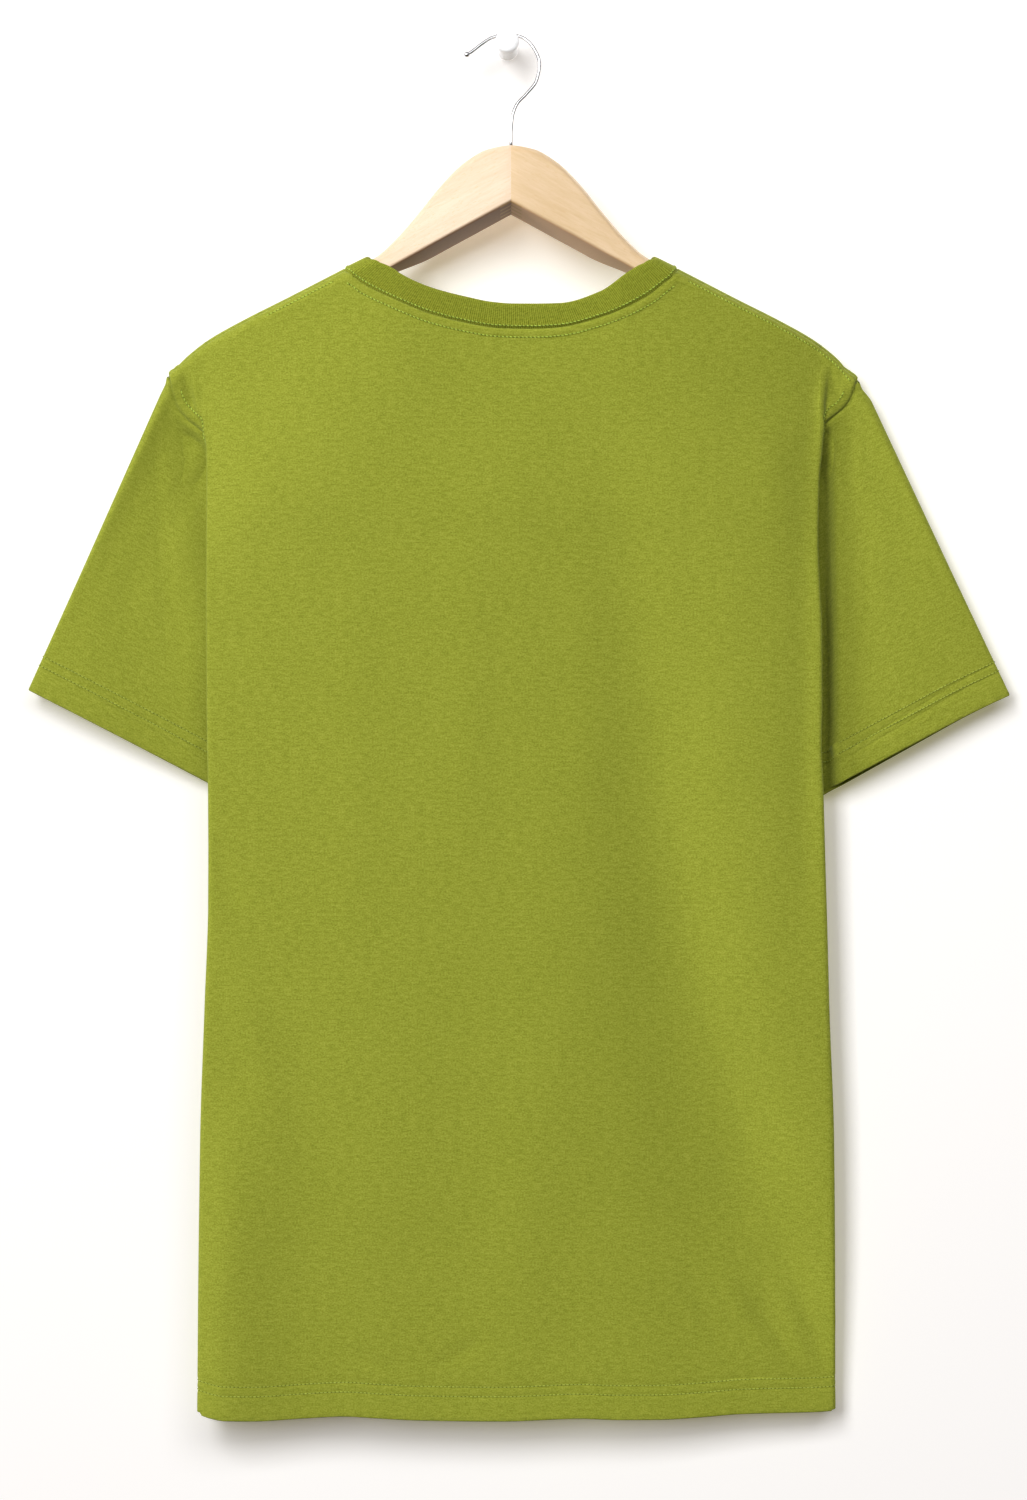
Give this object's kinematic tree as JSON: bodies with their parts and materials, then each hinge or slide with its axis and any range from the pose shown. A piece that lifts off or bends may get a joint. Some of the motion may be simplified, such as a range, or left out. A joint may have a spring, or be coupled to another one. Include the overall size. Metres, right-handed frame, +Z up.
{
  "type": "short-sleeved t-shirt on a wooden hanger and wall peg",
  "caption": "Short-sleeved crew-neck jersey t-shirt hanging flat, its back to the viewer, on a contoured wooden hanger whose wire hook rests on a round wall peg.",
  "frame": {"origin": "middle of the peg's flat wall face, where the whole part is held", "axes": "+Z up, +Y into the wall, +X to the right for a viewer who faces the wall and sees the shirt's back"},
  "size_m": [0.6476, 0.0569, 0.9176],
  "materials": {
    "jersey": "mottled olive-lime cotton jersey, matt",
    "rib_knit": "olive-lime cotton rib, matt",
    "beech": "satin lacquer",
    "chrome_wire": "polished",
    "white_gloss": "gloss white"
  },
  "bodies": {
    "root": {"back_panel": "jersey", "front_panel": "jersey", "sleeve_left": "jersey", "sleeve_right": "jersey", "neck_rib": "rib_knit", "hanger_arm_left": "beech", "hanger_arm_right": "beech", "hanger_hook": "chrome_wire", "wall_peg": "white_gloss"}
  },
  "joints": []
}
